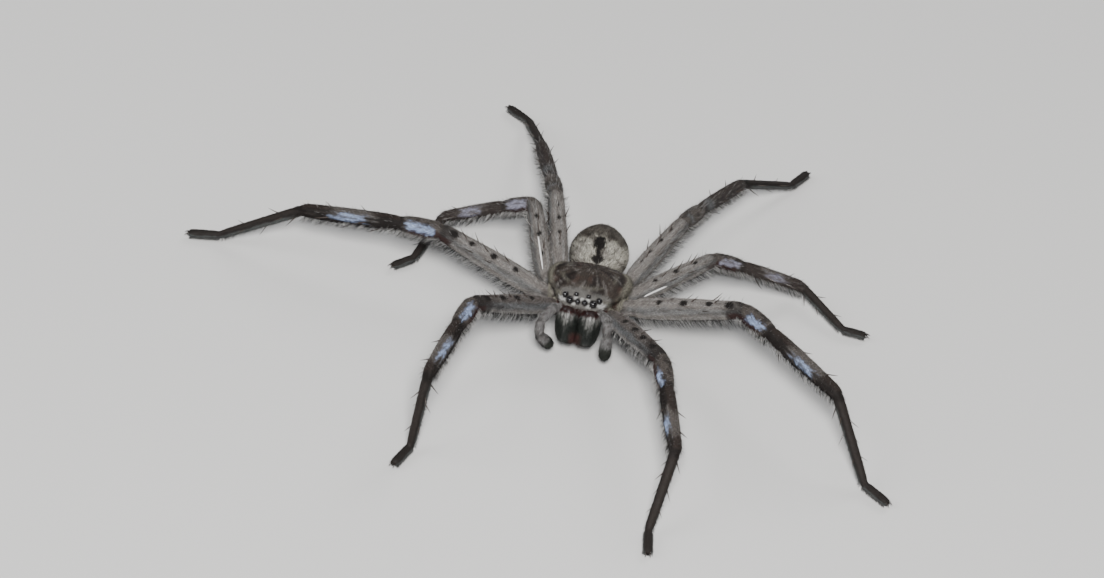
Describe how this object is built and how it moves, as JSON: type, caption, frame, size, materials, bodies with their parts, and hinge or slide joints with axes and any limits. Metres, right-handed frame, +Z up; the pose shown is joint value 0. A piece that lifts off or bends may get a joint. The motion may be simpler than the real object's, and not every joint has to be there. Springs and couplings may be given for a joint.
{
  "type": "huntsman spider",
  "caption": "Life-size still model of a huntsman spider standing on its spread legs, flat carapace and small rounded abdomen.",
  "frame": {"origin": "on the floor under the middle of the leg span", "axes": "+Z up, the head points along -Y, +X is the spider's left side and the longer way across the leg span"},
  "size_m": [0.1347, 0.1132, 0.0164],
  "materials": {
    "carapace": "short dense hair over a dark domed shell, mottled brown with a paler grey rim",
    "abdomen": "soft short hair, cream grey with dark flecks and a black jagged middle mark",
    "spinnerets": "short grey-brown hair over small soft cones",
    "eyes": "black, smooth and very glossy",
    "jaws": "silver-grey hair thinning over glossy black-green shell",
    "fangs": "dark red-brown, smooth and glossy",
    "palps": "short grey hair, darker towards the tips",
    "femora": "short warm grey hair with dark round spots and fine specks",
    "shins": "short dark brown hair with bluish white bands",
    "feet": "short dark brown hair with a dense grey pad of hair under the sole"
  },
  "bodies": {
    "root": {"cephalothorax": "carapace", "abdomen": "abdomen", "spinnerets": "spinnerets", "eye_anterior_median_left": "eyes", "eye_anterior_median_right": "eyes", "eye_anterior_lateral_left": "eyes", "eye_anterior_lateral_right": "eyes", "eye_posterior_median_left": "eyes", "eye_posterior_median_right": "eyes", "eye_posterior_lateral_left": "eyes", "eye_posterior_lateral_right": "eyes", "chelicera_left": "jaws", "fang_left": "fangs", "pedipalp_left": "palps", "leg_left_1_femur": "femora", "leg_left_1_tibia": "shins", "leg_left_1_foot": "feet", "leg_left_2_femur": "femora", "leg_left_2_tibia": "shins", "leg_left_2_foot": "feet", "leg_left_3_femur": "femora", "leg_left_3_tibia": "shins", "leg_left_3_foot": "feet", "leg_left_4_femur": "femora", "leg_left_4_tibia": "shins", "leg_left_4_foot": "feet", "chelicera_right": "jaws", "fang_right": "fangs", "pedipalp_right": "palps", "leg_right_1_femur": "femora", "leg_right_1_tibia": "shins", "leg_right_1_foot": "feet", "leg_right_2_femur": "femora", "leg_right_2_tibia": "shins", "leg_right_2_foot": "feet", "leg_right_3_femur": "femora", "leg_right_3_tibia": "shins", "leg_right_3_foot": "feet", "leg_right_4_femur": "femora", "leg_right_4_tibia": "shins", "leg_right_4_foot": "feet"}
  },
  "joints": []
}
